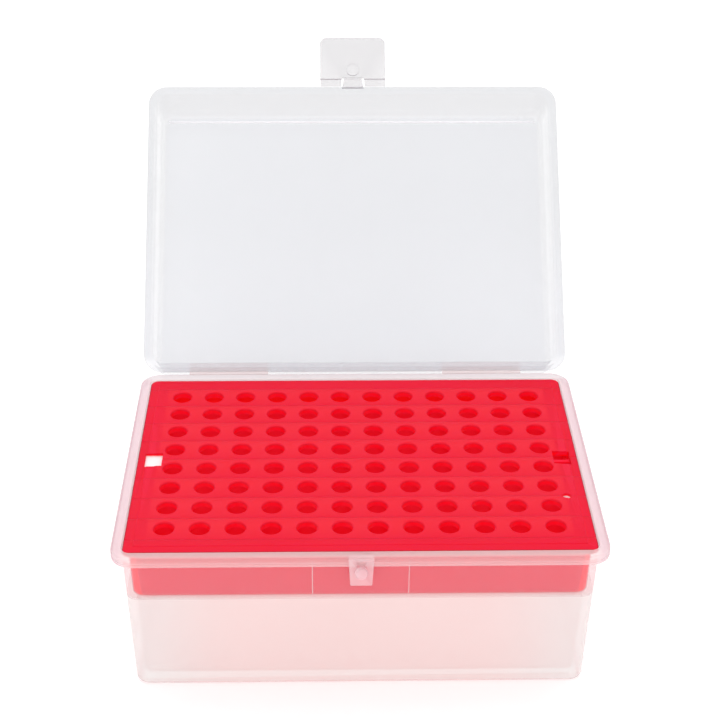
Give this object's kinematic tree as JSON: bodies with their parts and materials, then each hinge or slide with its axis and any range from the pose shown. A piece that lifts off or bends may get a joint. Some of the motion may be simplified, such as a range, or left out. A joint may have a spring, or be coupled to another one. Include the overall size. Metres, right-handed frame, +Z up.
{
  "type": "pipette tip box",
  "caption": "Hinged tip box: clear tub, red perforated rack plate, clear lid on film hinges, folding front latch.",
  "frame": {"origin": "centre of the flat underside", "axes": "+X to the right along the long side, +Y to the back where the lid is hinged, +Z up"},
  "size_m": [0.1242, 0.1622, 0.121],
  "materials": {
    "clear_tub": "natural translucent polypropylene",
    "clear_lid": "natural translucent polypropylene",
    "red_rack": "bright red moulded plastic, satin gloss",
    "clear_latch": "natural translucent polypropylene",
    "film_hinge": "thin natural polypropylene"
  },
  "bodies": {
    "base": {"base_box": "clear_tub", "rack_plate": "red_rack", "hinge_strap_left": "film_hinge", "hinge_strap_right": "film_hinge"},
    "lid": {"lid_shell": "clear_lid", "latch_strap_left": "film_hinge", "latch_strap_right": "film_hinge"},
    "latch": {"latch_flap": "clear_latch"}
  },
  "joints": [
    {"name": "lid_hinge", "type": "hinge", "parent": "base", "child": "lid", "pos_m": [0, 0.0448, 0.0435], "axis": [1, 0, 0], "range_deg": [0, 132.4], "deforming": ["hinge_strap_left", "hinge_strap_right"]},
    {"name": "latch_hinge", "type": "hinge", "parent": "lid", "child": "latch", "pos_m": [0, 0.10598, 0.11005], "axis": [1, 0, 0], "range_deg": [0, 90], "deforming": ["latch_strap_left", "latch_strap_right"]}
  ]
}
